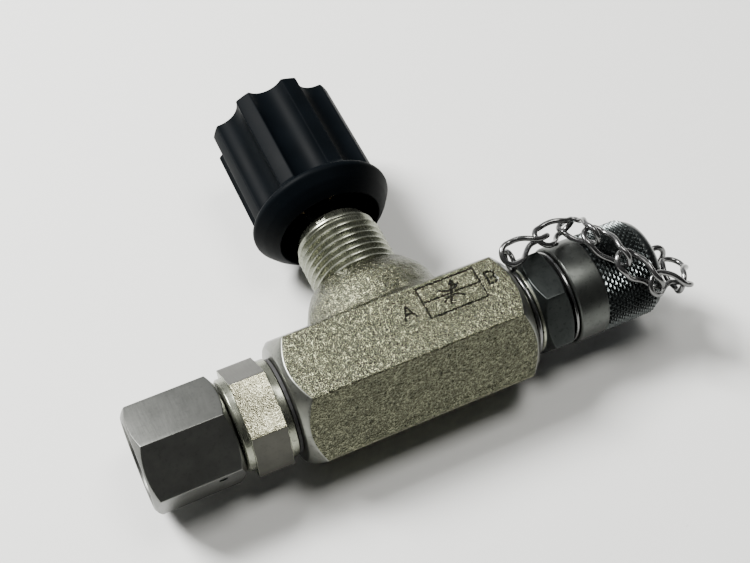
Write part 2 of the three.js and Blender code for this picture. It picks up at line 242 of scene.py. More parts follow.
def machinedMetal(name, bright, dark, roughness=(0.28, 0.42), pits=0.35):
    material, shading, surface, place = newMaterial(name)
    skin = placeGroup(shading, skins["machined"], {"Vector": place})
    tone = shading.blend(shading.ramp(skin["Stains"], [(0.35, 0.0), (0.7, 1.0)]), (*bright, 1), (*dark, 1))
    deep = tuple(value * 0.4 for value in dark)
    pitted = shading.times(skin["Pits"], pits)
    shading.feed(surface.inputs["Base Color"], shading.blend(pitted, tone, (*deep, 1)))
    setRoughness(shading, surface, skin["Marks"], *roughness)
    surface.inputs["Metallic"].default_value = 0.92
    setBump(shading, surface, 0.12, 0.00004, skin["Marks"])
    return material


def mouldedPlastic(name, base, sheen):
    material, shading, surface, place = newMaterial(name)
    fine = shading.noise(place, 2600.0, 2.0, 0.5)
    wide = shading.noise(place, 120.0, 3.0, 0.55)
    scuffs = shading.noise(place, 900.0, 5.0, 0.7)
    tone = shading.blend(shading.ramp(wide, [(0.35, 0.0), (0.7, 1.0)]), (*base, 1), (*sheen, 1))
    marks = shading.ramp(scuffs, [(0.68, 0.0), (0.76, 0.35)])
    scuffed = tuple(value * 5 for value in base)
    shading.feed(surface.inputs["Base Color"], shading.blend(marks, tone, (*scuffed, 1)))
    surface.inputs["Specular IOR Level"].default_value = 0.03
    setRoughness(shading, surface, wide, 0.42, 0.58)
    setBump(shading, surface, 0.12, 0.00005, fine)
    return material


def mattRubber(name):
    material, shading, surface, place = newMaterial(name)
    fine = shading.noise(place, 1800.0, 3.0, 0.6)
    tone = shading.blend(fine, (0.012, 0.012, 0.012, 1), (0.03, 0.03, 0.03, 1))
    shading.feed(surface.inputs["Base Color"], tone)
    setRoughness(shading, surface, fine, 0.6, 0.8)
    return material


finishes = {
    "cast": blastedMetal("blastedZincSteel", (0.115, 0.117, 0.078), (0.07, 0.072, 0.05)),
    # near-black copy of the cast finish for the engraved strokes: painted shade in the grooves
    "engraved": blastedMetal("engravedShadeSteel", (0.014, 0.014, 0.011), (0.01, 0.01, 0.008)),
    "chamfer": machinedMetal("cutEndSteel", (0.2, 0.205, 0.18), (0.14, 0.145, 0.13), (0.26, 0.38)),
    "thread": machinedMetal("threadSteel", (0.3, 0.31, 0.245), (0.2, 0.21, 0.17), (0.22, 0.34), pits=0.6),
    "nut": machinedMetal("nutSteel", (0.15, 0.153, 0.143), (0.115, 0.118, 0.11), (0.3, 0.42), pits=0.15),
    # the stud's grainy and side finishes are one steel in a lit and a shaded copy: painted highlight on the upward
    # flat, painted shade on the other flats
    "stud": blastedMetal("studLitFlatSteel", (0.42, 0.41, 0.28), (0.3, 0.29, 0.2), 3400.0, (0.2, 0.34), 0.3),
    "studShadedFlats": machinedMetal("studShadedFlatSteel", (0.055, 0.054, 0.046), (0.04, 0.04, 0.034), (0.3, 0.42), 0.15),
    "coupling": machinedMetal("couplingSteel", (0.042, 0.047, 0.045), (0.027, 0.031, 0.03), (0.3, 0.44)),
    "cap": machinedMetal("capSteel", (0.08, 0.085, 0.079), (0.055, 0.059, 0.055), (0.32, 0.44)),
    # the cap's steel made darker for the knurl: painted shade among the knurl teeth
    "knurl": machinedMetal("knurlShadedSteel", (0.065, 0.073, 0.072), (0.035, 0.04, 0.04), (0.2, 0.32)),
    "wire": machinedMetal("chainWire", (0.2, 0.2, 0.2), (0.12, 0.122, 0.12), (0.14, 0.26), pits=0.2),
    "brass": machinedMetal("turnedBrass", (0.72, 0.56, 0.3), (0.55, 0.42, 0.22)),
    "plastic": mouldedPlastic("knobPlastic", (0.0011, 0.0019, 0.0027), (0.0017, 0.0028, 0.004)),
    "ring": mouldedPlastic("backupPlastic", (0.75, 0.72, 0.66), (0.68, 0.65, 0.6)),
    "rubber": mattRubber("nitrileRubber"),
}
print("materials made:", len(finishes))


# ---- mesh helpers ----
def softened(corners, radius, steps=3):
    # an open run of points with each inner corner rounded
    points = [corners[0]]
    for before, corner, after in zip(corners, corners[1:], corners[2:]):
        legs = [math.dist(before, corner), math.dist(corner, after)]
        reach = min(radius, 0.4 * legs[0], 0.4 * legs[1])
        if reach < 1e-6:
            points.append(corner)
            continue
        start = [c + (b - c) * reach / legs[0] for b, c in zip(before, corner)]
        end = [c + (a - c) * reach / legs[1] for a, c in zip(after, corner)]
        for k in range(steps + 1):
            t = k / steps
            points.append(tuple(
                (1 - t) ** 2 * s + 2 * t * (1 - t) * c + t * t * e for s, c, e in zip(start, corner, end)
            ))
    points.append(corners[-1])
    return points


def skinned(rings, closed=False):
    # one skin through rings of equal length; a ring shrunk to a point closes an end
    count = len(rings[0])
    mesh = bpy.data.meshes.new("skin")
    faces = []
    last = len(rings) if closed else len(rings) - 1
    for i in range(last):
        near, far = i * count, ((i + 1) % len(rings)) * count
        for k in range(count):
            after = (k + 1) % count
            faces.append((near + k, near + after, far + after, far + k))
    mesh.from_pydata([point for ring in rings for point in ring], [], faces)
    return cleaned(mesh)


def skinnedColumns(columns, closed=False):
    return skinned([list(ring) for ring in zip(*columns)], closed)


def aboutX(profile, angle):
    # [station, radius] points stood at one angle round the X axis
    return [(x, r * math.cos(angle), r * math.sin(angle)) for x, r in profile]


def cleaned(mesh, distance=0.0008, sleeve=False):
    # open ends are filled; those of a sleeve are joined to each other
    work = bmesh.new()
    work.from_mesh(mesh)
    bmesh.ops.remove_doubles(work, verts=work.verts, dist=distance)
    bmesh.ops.dissolve_degenerate(work, edges=work.edges, dist=distance * 0.5)
    holes = [edge for edge in work.edges if edge.is_boundary]
    if holes and sleeve:
        bmesh.ops.bridge_loops(work, edges=holes)
    elif holes:
        bmesh.ops.holes_fill(work, edges=holes, sides=0)
    bmesh.ops.recalc_face_normals(work, faces=work.faces)
    work.to_mesh(mesh)
    work.free()
    return mesh


def joined(*meshes):
    work = bmesh.new()
    for mesh in meshes:
        work.from_mesh(mesh)
    whole = bpy.data.meshes.new("joined")
    work.to_mesh(whole)
    work.free()
    return whole


def circle(radius, station, count, axis="X"):
    ring = []
    for k in range(count):
        turn = 2 * math.pi * k / count
        across, up = radius * math.cos(turn), radius * math.sin(turn)
        ring.append((station, across, up) if axis == "X" else (across, station, up))
    return ring


def turned(profile, soft=0.12, count=96, axis="X"):
    # profile is [station, radius] points; it starts and ends on the axis, or closes on itself
    closed = math.dist(profile[0], profile[-1]) < 1e-6
    points = softened(profile, soft)
    if closed:
        points = points[:-1]
    return skinned([circle(radius, station, count, axis) for station, radius in points], closed)


def wireTorus(centre, ringRadius, wire, normalTurn=None, count=56):
    # a ring of wire about X, or one whose plane holds X and is turned about it
    sides = 14
    rings = []
    for k in range(count):
        turn = 2 * math.pi * k / count
        ring = []
        for s in range(sides):
            tube = 2 * math.pi * s / sides
            reach = ringRadius + wire * math.cos(tube)
            lift = wire * math.sin(tube)
            if normalTurn is None:
                point = Vector((lift, reach * math.cos(turn), reach * math.sin(turn)))
            else:
                point = Vector((reach * math.cos(turn), reach * math.sin(turn), lift))
                point.rotate(Matrix.Rotation(normalTurn, 3, "X"))
            ring.append(tuple(point + Vector(centre)))
        rings.append(ring)
    return skinned(rings, True)


def hexOutline(across, turn, edge, perSide=14, perCorner=4):
    # (angle, radius) pairs round a hexagon with rounded corners; angles run from +Y towards +Z.
    # perSide is one count for all sides or one for each.
    reach = (across / 2 - edge) / math.cos(math.radians(30))
    points = []
    for corner in range(6):
        facing = math.radians(turn + 60 * corner)
        for k in range(perCorner + 1):
            swing = facing + math.radians(-30 + 60 * k / perCorner)
            points.append((reach * math.cos(facing) + edge * math.cos(swing),
                           reach * math.sin(facing) + edge * math.sin(swing)))
        nextFacing = facing + math.radians(60)
        swing = facing + math.radians(30)
        start = points[-1]
        end = (reach * math.cos(nextFacing) + edge * math.cos(swing),
               reach * math.sin(nextFacing) + edge * math.sin(swing))
        count = perSide if isinstance(perSide, int) else perSide[corner]
        for k in range(1, count):
            points.append(tuple(s + (e - s) * k / count for s, e in zip(start, end)))
    return [(math.atan2(z, y), math.hypot(y, z)) for y, z in points]


def hexTurned(outline, columnProfile, soft):
    # one closed column of [station, radius] points for each outline point, as a skin along X
    columns = [aboutX(softened(columnProfile(radius), soft)[:-1], angle) for angle, radius in outline]
    return skinnedColumns(columns, True)


def evaluated(item):
    # the plain mesh that an object's modifiers give
    graph = bpy.context.evaluated_depsgraph_get()
    mesh = bpy.data.meshes.new_from_object(item.evaluated_get(graph))
    bpy.data.objects.remove(item)
    return mesh


def cutBy(mesh, cutter):
    item = newItem("cutting", mesh)
    tool = newItem("cutter", cutter)
    modifier = item.modifiers.new("cut", "BOOLEAN")
    modifier.operation = "DIFFERENCE"
    modifier.solver = "EXACT"
    modifier.use_self = True
    modifier.object = tool
    result = evaluated(item)
    bpy.data.objects.remove(tool)
    return result


def coat(mesh, *names):
    for name in names:
        mesh.materials.append(finishes[name])


def addPiece(name, mesh, finish, body, slot, *replaced, smooth=32.0):
    mesh.transform(toRow)
    mesh.name = name
    item = newItem(name, mesh)
    if finish:
        mesh.materials.clear()
        coat(mesh, finish)
    mesh.polygons.foreach_set("use_smooth", [True] * len(mesh.polygons))
    mesh.set_sharp_from_angle(angle=math.radians(smooth))
    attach(item, body)
    if replaced:
        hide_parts(*replaced)
    return item


# ---- geometry node trees ----
class Growing(Shading):
    def switchPick(self, index, values):
        node = self.add("GeometryNodeIndexSwitch", data_type="FLOAT")
        while len(node.index_switch_items) < len(values):
            node.index_switch_items.new()
        self.feed(node.inputs["Index"], index)
        for k, value in enumerate(values):
            self.feed(node.inputs[k + 1], value)
        return node.outputs[0]

    def point(self, x, y, z):
        return self.add("ShaderNodeCombineXYZ", {0: x, 1: y, 2: z}).outputs[0]

    def moved(self, geometry, x, y, z):
        sockets = {"Geometry": geometry, "Position": self.point(x, y, z)}
        return self.add("GeometryNodeSetPosition", sockets).outputs[0]

    def legs(self, radius, angle):
        # how far a radius at an angle reaches on its two axes
        return [self.times(radius, self.maths(part, angle)) for part in ("COSINE", "SINE")]


def newTree(name, inputs):
    tree = bpy.data.node_groups.new(name, "GeometryNodeTree")
    tree.is_modifier = True
    for label, kind, value in inputs:
        socket = tree.interface.new_socket(label, in_out="INPUT", socket_type=kind)
        socket.default_value = value
    tree.interface.new_socket("Geometry", in_out="OUTPUT", socket_type="NodeSocketGeometry")
    growing = Growing(tree)
    source = growing.add("NodeGroupInput").outputs
    sink = growing.add("NodeGroupOutput").inputs["Geometry"]
    return growing, source, sink


def finishTree(growing, geometry, sink, finish):
    real = growing.add("GeometryNodeRealizeInstances", {"Geometry": geometry}).outputs[0]
    painted = growing.add("GeometryNodeSetMaterial", {"Geometry": real})
    painted.inputs["Material"].default_value = finishes[finish]
    growing.feed(sink, painted.outputs[0])
    return growing.tree


def grown(tree, values):
    item = newItem("growing", bpy.data.meshes.new("seed"))
    modifier = item.modifiers.new("grow", "NODES")
    modifier.node_group = tree
    for socket in tree.interface.items_tree:
        if socket.in_out == "INPUT" and socket.name in values:
            modifier[socket.identifier] = values[socket.name]
    return evaluated(item)


def threadTree(finish):
    # a helical ridge: the rows of a grid climb one pitch in one turn, so the seam closes on the next row
    growing, source, sink = newTree("threadTree", [
        ("Crest", "NodeSocketFloat", 9.0), ("Root", "NodeSocketFloat", 8.3),
        ("Pitch", "NodeSocketFloat", 1.5), ("From", "NodeSocketFloat", 0.0),
        ("To", "NodeSocketFloat", 10.0), ("Around", "NodeSocketInt", 96), ("Turns", "NodeSocketInt", 10),
    ])
    perTurn = 6
    rows = growing.plus(growing.times(source["Turns"], perTurn), 1)
    columns = growing.plus(source["Around"], 1)
    sockets = {"Size X": 1.0, "Size Y": 1.0, "Vertices X": columns, "Vertices Y": rows}
    grid = growing.add("GeometryNodeMeshGrid", sockets).outputs["Mesh"]
    index = growing.add("GeometryNodeInputIndex").outputs[0]
    column = growing.maths("FLOOR", growing.over(growing.plus(index, 0.5), rows))
    row = growing.minus(index, growing.times(column, rows))
    share = growing.over(column, source["Around"])
    phase = growing.maths("MODULO", row, perTurn)
    level = growing.switchPick(phase, [0.55, 0.93, 1.0, 0.93, 0.45, 0.0])
    offset = growing.switchPick(phase, [0.28, 0.39, 0.5, 0.61, 0.72, 0.97])
    wholeTurns = growing.maths("FLOOR", growing.over(row, perTurn))
    climb = growing.plus(growing.plus(wholeTurns, offset), growing.minus(share, 1.0))
    station = growing.maths("MULTIPLY_ADD", climb, source["Pitch"], source["From"])
    station = growing.maths("MINIMUM", growing.maths("MAXIMUM", station, source["From"]), source["To"])
    rise = growing.minus(station, source["From"])
    fall = growing.minus(source["To"], station)
    nearEnd = growing.maths("MINIMUM", rise, fall)
    fade = growing.maths("MINIMUM", growing.over(nearEnd, growing.times(source["Pitch"], 0.5)), 1.0)
    depth = growing.minus(source["Crest"], source["Root"])
    radius = growing.maths("MULTIPLY_ADD", growing.times(level, fade), depth, source["Root"])
    angle = growing.times(share, 2 * math.pi)
    ridge = growing.moved(grid, station, *growing.legs(radius, angle))
    merged = growing.add("GeometryNodeMergeByDistance", {"Geometry": ridge, "Distance": 0.002})
    return finishTree(growing, merged.outputs[0], sink, finish)


def knurlTree(finish):
    # blunt pyramids on two crossed sets of rows round X
    growing, source, sink = newTree("knurlTree", [
        ("Radius", "NodeSocketFloat", 9.7), ("Height", "NodeSocketFloat", 0.4),
        ("Around", "NodeSocketInt", 60), ("Rows", "NodeSocketInt", 20),
        ("From", "NodeSocketFloat", 0.0), ("Spacing", "NodeSocketFloat", 0.5),
    ])
    total = growing.times(source["Around"], source["Rows"])
    points = growing.add("GeometryNodePoints", {"Count": total}).outputs[0]
    index = growing.add("GeometryNodeInputIndex").outputs[0]
    row = growing.maths("FLOOR", growing.over(growing.plus(index, 0.5), source["Around"]))
    column = growing.minus(index, growing.times(row, source["Around"]))
    half = growing.times(growing.maths("MODULO", row, 2.0), 0.5)
    share = growing.over(growing.plus(column, half), source["Around"])
    angle = growing.times(share, 2 * math.pi)
    middle = growing.maths("MULTIPLY_ADD", source["Height"], 0.5, source["Radius"])
    station = growing.maths("MULTIPLY_ADD", row, source["Spacing"], source["From"])
    placed = growing.moved(points, station, *growing.legs(middle, angle))
    sockets = {"Vertices": 4, "Radius Top": 0.16, "Radius Bottom": 1.0, "Depth": 1.0}
    cone = growing.add("GeometryNodeMeshCone", sockets)
    halfWidth = growing.over(growing.times(source["Radius"], math.pi), source["Around"])
    size = growing.point(source["Spacing"], halfWidth, source["Height"])
    sockets = {"Geometry": cone.outputs["Mesh"], "Translation": (0, 0, -0.5)}
    lowered = growing.add("GeometryNodeTransform", sockets)
    facing = growing.point(growing.minus(angle, math.pi / 2), 0.0, 0.0)
    sockets = {"Points": placed, "Instance": lowered.outputs[0], "Rotation": facing, "Scale": size}
    studded = growing.add("GeometryNodeInstanceOnPoints", sockets)
    return finishTree(growing, studded.outputs[0], sink, finish)


def linkTree(finish):
    # a long loop of round wire whose far end is twisted from its near end
    growing, source, sink = newTree("linkTree", [
        ("Length", "NodeSocketFloat", 10.6), ("Half Width", "NodeSocketFloat", 2.15),
        ("Wire", "NodeSocketFloat", 0.55), ("Twist", "NodeSocketFloat", math.pi / 2),
        ("Points", "NodeSocketInt", 72), ("Sides", "NodeSocketInt", 14),
    ])
    loop = growing.add("GeometryNodeCurvePrimitiveCircle", {"Resolution": 96, "Radius": 1.0}).outputs["Curve"]
    position = growing.add("GeometryNodeInputPosition").outputs[0]
    apart = growing.add("ShaderNodeSeparateXYZ", {0: position}).outputs
    straight = growing.minus(growing.times(source["Length"], 0.5), source["Half Width"])
    side = growing.maths("SIGN", growing.plus(apart["X"], 0.0001))
    along = growing.maths("MULTIPLY_ADD", side, straight, growing.times(apart["X"], source["Half Width"]))
    width = growing.times(apart["Y"], source["Half Width"])
    stadium = growing.moved(loop, along, width, 0.0)
    even = growing.add("GeometryNodeResampleCurve", {"Curve": stadium, "Count": source["Points"]}).outputs[0]
    again = growing.add("GeometryNodeInputPosition").outputs[0]
    parts = growing.add("ShaderNodeSeparateXYZ", {0: again}).outputs
    low = growing.times(straight, -1.0)
    share = growing.add("ShaderNodeMapRange", {"Value": parts["X"], "From Min": low, "From Max": straight},
                        interpolation_type="SMOOTHSTEP").outputs[0]
    turn = growing.times(share, source["Twist"])
    twisted = growing.moved(even, parts["X"], *growing.legs(parts["Y"], turn))
    sockets = {"Resolution": source["Sides"], "Radius": source["Wire"]}
    section = growing.add("GeometryNodeCurvePrimitiveCircle", sockets).outputs["Curve"]
    wire = growing.add("GeometryNodeCurveToMesh", {"Curve": twisted, "Profile Curve": section})
    return finishTree(growing, wire.outputs[0], sink, finish)


# ---- valve body ----
body = {
    "across": 24.6, "halfLength": 24.4, "endRadius": 11.4, "edge": 0.5, "perSide": [36, 104, 44, 20, 20, 36],
    "domeReach": 17.0, "rows": 88, "fineFrom": 0.0, "fineTo": 21.7, "fineStep": 0.13, "chamferFrom": 20.5,
    "blend": 1.7, "blendFrom": 1.5, "blendOver": 4, "lumps": 0.1,
    "worn": (-13.0, 15.0), "wornFacing": 150, "wornHalf": 24, "wornDepth": 0.07,
    "neckCore": 8.28, "neckFrom": 12.0, "neckTop": 31.2, "neckBore": 6.9, "collarFrom": 29.9,
    "collarRadius": 8.55, "threadCrest": 8.98, "threadRoot": 8.3, "threadPitch": 1.5, "threadFrom": 16.4,
}
# height, half width along X and half width across of the forged shoulder under the neck
shoulder = [(0, 13.6, 11.6), (11, 13.6, 11.6), (14, 13.5, 11.3), (15.6, 12.9, 10.7), (17.1, 12.1, 9.6),
            (18.6, 11.1, 8.5), (20.2, 9.2, 7.0), (21.5, 7.6, 5.2)]


def between(table, height, column):
    if height <= table[0][0]:
        return table[0][column]
    for low, high in zip(table, table[1:]):
        if height <= high[0]:
            share = (height - low[0]) / (high[0] - low[0])
            return low[column] + (high[column] - low[column]) * share
    return 0.01


def shoulderReach(x, angle):
    # how far the shoulder stands from the X axis in one direction
    low, high = 0.0, 24.0
    for _ in range(16):
        middle = (low + high) / 2
        y, z = middle * math.cos(angle), middle * math.sin(angle)
        along, across = between(shoulder, y, 1), between(shoulder, y, 2)
        inside = (x / along) ** 2 + (z / across) ** 2 <= 1
        low, high = (middle, high) if inside else (low, middle)
    return low


def smoothRise(gap, width):
    if gap <= -width:
        return 0.0
    if gap >= width:
        return gap
    return (gap + width) ** 2 / (4 * width)


# the engraved flow symbol and the port letters, as runs of points on the upper facet
marks = {"width": 0.38, "depth": 0.16, "frame": (5.4, -0.7, 17.5, 6.2), "midline": 2.85, "letterHeight": 2.7}


def arcRun(centre, radius, first, last, steps=8):
    points = []
    for k in range(steps + 1):
        turn = math.radians(first + (last - first) * k / steps)
        points.append((centre[0] + radius * math.cos(turn), centre[1] + radius * math.sin(turn)))
    return points


def letterRuns():
    h = marks["letterHeight"]
    left, low = 0.9, 0.8
    letterA = [[(left, low), (left + 0.42 * h, low + h), (left + 0.84 * h, low)],
               [(left + 0.17 * h, low + 0.38 * h), (left + 0.67 * h, low + 0.38 * h)]]
    left, low = 19.0, 1.5
    upperBow = arcRun((left + 0.4 * h, low + 0.75 * h), 0.25 * h, 90, -90)
    lowerBow = arcRun((left + 0.42 * h, low + 0.25 * h), 0.25 * h, 90, -90)
    upper = [(left, low + h), *upperBow, (left, low + 0.5 * h)]
    lower = [(left + 0.4 * h, low + 0.5 * h), *lowerBow, (left, low)]
    letterB = [[(left, low), (left, low + h)], upper, lower]
    return letterA + letterB


def symbolRuns():
    x0, y0, x1, y1 = marks["frame"]
    mid = marks["midline"]
    middle = (x0 + x1) / 2
    runs = [[(x0, y0), (x1, y0), (x1, y1), (x0, y1), (x0, y0)], [(x0, mid), (x1, mid)]]
    runs.append(arcRun((middle, mid + 3.3), 2.75, 222, 318))
    runs.append(arcRun((middle, mid - 3.3), 2.75, 138, 42))
    tip, tail = (middle + 1.2, mid + 2.55), (middle - 1.15, mid - 2.4)
    runs.append([tail, tip])
    runs.append([(middle + 0.3, mid + 1.75), tip, (middle + 1.35, mid + 1.25), (middle + 0.3, mid + 1.75)])
    return runs


strokes = symbolRuns() + letterRuns()


def markReach(x, y):
    # distance to the nearest stroke
    nearest = 9.0
    for run in strokes:
        for (ax, ay), (bx, by) in zip(run, run[1:]):
            along, across = bx - ax, by - ay
            share = ((x - ax) * along + (y - ay) * across) / (along * along + across * across)
            share = min(1.0, max(0.0, share))
            nearest = min(nearest, math.hypot(x - ax - share * along, y - ay - share * across))
    return nearest


def stations(settings):
    # where the columns of the shell have points: fine steps where the marks are
    reach, rows = settings["domeReach"], settings["rows"]
    coarse = [reach * (2 * k / rows - 1) for k in range(1, rows)]
    run = [x for x in coarse if x < settings["fineFrom"]]
    while run[-1] < settings["fineTo"]:
        run.append(run[-1] + settings["fineStep"])
    return run


def bodyShell(settings):
    outline = hexOutline(settings["across"], 0, settings["edge"], settings["perSide"], 5)
    half, endRadius, level = settings["halfLength"], settings["endRadius"], settings["across"] / 2
    dome, blendFrom = settings["domeReach"], settings["blendFrom"]
    xs = stations(settings)
    columns = []
    for angle, radius in outline:
        y, z = radius * math.cos(angle), radius * math.sin(angle)
        marked = z > level - 0.01
        worn = abs(math.degrees(angle) - settings["wornFacing"]) < settings["wornHalf"]
        shoulderAt = half - (radius - endRadius)
        leftEnd = softened([(-half, 0), (-half, endRadius), (-shoulderAt, radius), (xs[0], radius)], 0.28)
        rightEnd = softened([(xs[-1], radius), (shoulderAt, radius), (half, endRadius), (half, 0)], 0.28)
        middle = []
        for x in xs[1:-1]:
            reach = radius
            if y > blendFrom:
                swell = smoothRise(shoulderReach(x, angle) - radius, settings["blend"])
                reach += swell * min(1.0, (y - blendFrom) / settings["blendOver"]) ** 2
            place = Vector((x, reach * math.cos(angle), reach * math.sin(angle)))
            fade = min(1.0, 2 * (dome - abs(x))) if x < dome - 0.5 else 0.0
            rough = settings["lumps"] * min(1.0, 0.25 + (reach - radius)) * max(fade, 0.0)
            reach += noise.fractal(place * 0.5, 0.8, 2.0, 3) * rough
            if marked and x > settings["fineFrom"] - 1:
                gap = markReach(x, y) / marks["width"] * 2
                reach -= marks["depth"] * max(0.0, 1 - gap * gap * gap)
            if worn and settings["worn"][0] < x < settings["worn"][1]:
                reach -= settings["wornDepth"]
            middle.append((x, reach))
        columns.append(aboutX(leftEnd + middle + rightEnd, angle))
    return skinnedColumns(columns)


threads = {"zinc": threadTree("thread"), "dark": threadTree("coupling"), "nut": threadTree("nut")}


def threadRing(kind, crest, root, pitch, start, end, axis="X", sleeve=False):
    turns = math.ceil((end - start) / pitch) + 2
    values = {"Crest": crest, "Root": root, "Pitch": pitch, "From": start, "To": end, "Turns": turns}
    mesh = cleaned(grown(threads[kind], values), 0.002, sleeve)
    if axis == "Y":
        mesh.transform(Matrix.Rotation(math.pi / 2, 4, "Z"))
    return mesh


def makeBody(settings):
    shell = bodyShell(settings)
    layers = ("cast", "chamfer", "thread", "engraved")
    level = settings["across"] / 2
    coat(shell, *layers)
    for face in shell.polygons:
        x, y, z = face.center
        slanted = abs(x) > settings["chamferFrom"] and abs(face.normal.x) > 0.25
        face.material_index = layers.index("chamfer" if slanted else "cast")
        # the engraved strokes get the near-black finish: painted shade in the grooves
        if level - 0.3 < z < level + 0.1 and x > settings["fineFrom"] - 0.2:
            if markReach(x, y) < marks["width"] * 0.5:
                face.material_index = layers.index("engraved")
    top, collar, bore = settings["neckTop"], settings["collarRadius"], settings["neckBore"]
    core = turned([
        (settings["neckFrom"], 0), (settings["neckFrom"], settings["neckCore"]),
        (settings["collarFrom"], settings["neckCore"]), (settings["collarFrom"] + 0.35, collar),
        (top - 0.5, collar), (top, collar - 0.6), (top, bore), (top - 4, bore), (top - 4, 0),
    ], 0.1, 96, "Y")
    thread = threadRing("zinc", settings["threadCrest"], settings["threadRoot"], settings["threadPitch"],
                        settings["threadFrom"], settings["collarFrom"], "Y")
    for mesh in (core, thread):
        mesh.materials.clear()
        coat(mesh, *layers)
        mesh.polygons.foreach_set("material_index", [layers.index("thread")] * len(mesh.polygons))
    whole = joined(shell, core, thread)
    coat(whole, *layers)
    addPiece("valveBody", whole, None, "root", "cast_zinc_steel", "valve_body", smooth=30)


makeBody(body)
print("valve body made")

# ---- swivel nut ----
nut = {"across": 19.0, "turn": 43.0, "edge": 0.22, "left": -53.75, "right": -35.9, "endRadius": 9.0,
       "slope": 0.58, "bore": 8.05, "lead": 0.9, "threadCrest": 7.3, "pitch": 1.5,
       "collarBore": 6.4, "threadEnd": -44.0,
       "wireStation": -40.6, "feedOffset": 3.3, "feedRadius": 0.9}


def makeNut(settings):
    left, right, end, slope = (settings[key] for key in ("left", "right", "endRadius", "slope"))
    start, bore = left + settings["lead"], settings["bore"]

    def column(radius):
        drop = (radius - end) * slope
        return [
            (start, bore), (left, bore + 0.35), (left, end), (left + drop, radius),
            (right - drop, radius), (right, end), (right, settings["collarBore"]),
            (settings["threadEnd"] + 1.2, settings["collarBore"]), (settings["threadEnd"], bore), (start, bore),
        ]

    outline = hexOutline(settings["across"], settings["turn"], settings["edge"])
    shell = hexTurned(outline, column, 0.16)
    feed = turned([(-6, 0), (-6, settings["feedRadius"]), (6, settings["feedRadius"]), (6, 0)], 0, 24)
    feed.transform(Matrix.Rotation(math.pi / 2, 4, "Z"))
    feed.transform(Matrix.Translation((0, 11.5, -settings["feedOffset"])))
    feed.transform(Matrix.Rotation(math.radians(settings["turn"] + 150), 4, "X"))
    feed.transform(Matrix.Translation((settings["wireStation"], 0, 0)))
    shell = cutBy(shell, feed)
    thread = threadRing("nut", settings["threadCrest"], bore + 0.05, settings["pitch"], start,
                        settings["threadEnd"], sleeve=True)
    addPiece("swivelNut", joined(shell, thread), "nut", "swivel_nut", "satin_steel", "swivel_nut")


makeNut(nut)

# ---- stud fitting ----
stud = {"across": 19.0, "turn": 16.6, "edge": 0.16, "hexLeft": -33.95, "hexRight": -26.9}


def makeStud(settings):
    hexLeft, hexRight = settings["hexLeft"], settings["hexRight"]

    def column(radius):
        return [
            (-50, 2.6), (-50, 4.2), (-49.6, 4.5), (-47.3, 5.2), (-47.3, 4), (-45.5, 4), (-45.5, 5.6), (-43.4, 6),
            (-35.5, 6), (-35.5, 8.8), (-35.1, 9.2), (hexLeft, 9.2), (hexLeft, radius), (hexRight, radius),
            (hexRight, 9.75), (-25.5, 9.75), (-25.4, 9.6), (-25.4, 6.6), (-14, 6.6), (-14, 2.6), (-50, 2.6),
        ]

    outline = hexOutline(settings["across"], settings["turn"], settings["edge"], 10)
    shell = hexTurned(outline, column, 0.14)
    # the flat facing up to the lamps is grainy with a bright base colour, a painted highlight; the other flats are
    # smooth with a much darker base colour, painted shade; all turned faces have the bright finish
    layers = ("stud", "thread", "studShadedFlats")
    coat(shell, *layers)
    for face in shell.polygons:
        x = face.center.x
        flat = hexLeft + 0.1 < x < hexRight - 0.1 and abs(face.normal.x) < 0.5
        facing = math.degrees(math.atan2(face.normal.z, face.normal.y)) - settings["turn"]
        side = "stud" if 62 < facing < 118 else "studShadedFlats"
        face.material_index = layers.index(side if flat else "thread")
    addPiece("studFitting", shell, None, "root", "bright_steel", "stud_fitting")


makeStud(stud)

# ---- test coupling ----
coupling = {"across": 19.0, "turn": 56.0, "edge": 0.2, "hexLeft": 27.2, "hexRight": 33.3, "endRadius": 9.1,
            "slope": 0.6, "mouth": 46.5, "threadRoot": 7.0, "threadCrest": 7.9, "pitch": 2.0}


def makeCoupling(settings):
    left, right, mouth = settings["hexLeft"], settings["hexRight"], settings["mouth"]
    end, root = settings["endRadius"], settings["threadRoot"]

    def column(radius):
        drop = (radius - end) * settings["slope"]
        return [
            (13.6, 4.2), (13.6, 6), (14.2, 6.6), (25.1, 6.6), (25.1, 7.3), (26.6, 7.3), (26.6, 9.0), (left, end),
            (left + drop, radius), (right - drop, radius), (right, end), (right, 7.2), (35.2, 7.2), (35.4, root),
            (mouth - 0.8, root), (mouth - 0.7, root), (mouth, root - 0.5), (mouth, 2.7), (44.4, 2.7), (44.4, 3.7),
            (43, 3.7), (43, 2.7), (41.4, 2.7), (40.4, 4.2), (13.6, 4.2),
        ]

    outline = hexOutline(settings["across"], settings["turn"], settings["edge"])
    shell = hexTurned(outline, column, 0.14)
    thread = threadRing("dark", settings["threadCrest"], root - 0.03, settings["pitch"], 35.5, mouth - 0.7)
    whole = joined(shell, thread)
    # the collar beside the body has the bright finish, the rest is dark
    layers = ("coupling", "thread")
    coat(whole, *layers)
    for face in whole.polygons:
        face.material_index = layers.index("thread" if face.center.x < left - 0.15 else "coupling")
    addPiece("testCoupling", whole, None, "root", "dark_steel", "test_coupling")


makeCoupling(coupling)
addPiece("dustRing", turned([(33.7, 7.5), (33.7, 9.55), (34.2, 9.55), (34.2, 7.5), (33.7, 7.5)], 0.12),
         "wire", "root", "wire_steel", "dust_ring")
print("fittings made")

# ---- cap ----
cap = {"mouth": 34.5, "end": 54.4, "radius": 10.1, "bore": 8.3, "boreEnd": 47.6, "corner": 2.6, "bandEnd": 41.0,
       "knurlDepth": 0.5, "around": 46, "spacing": 0.68}


